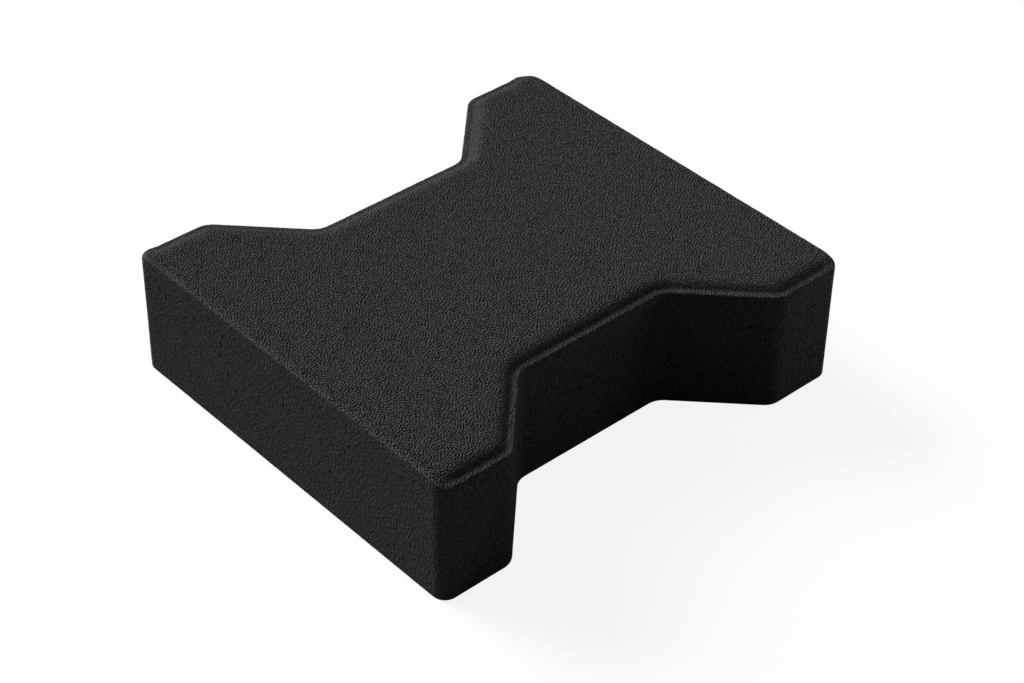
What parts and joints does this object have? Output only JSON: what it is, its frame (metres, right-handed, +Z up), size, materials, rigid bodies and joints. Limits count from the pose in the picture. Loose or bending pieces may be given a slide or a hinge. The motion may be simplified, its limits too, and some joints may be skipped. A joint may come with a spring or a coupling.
{
  "type": "concrete paving stone",
  "caption": "Interlocking concrete paving stone with a notch in each long side, a bevelled top edge with a lip along the notched sides, and straight plain ends.",
  "frame": {"origin": "middle of the stone's length and width, on its bed face", "axes": "+X along the stone from one straight end to the other, +Y across it from notch to notch, +Z up out of the top face"},
  "size_m": [0.2, 0.18, 0.055],
  "materials": {
    "concrete": "dark through-coloured pressed concrete, rough and fine-grained"
  },
  "bodies": {
    "root": {"paving_stone": "concrete"}
  },
  "joints": []
}
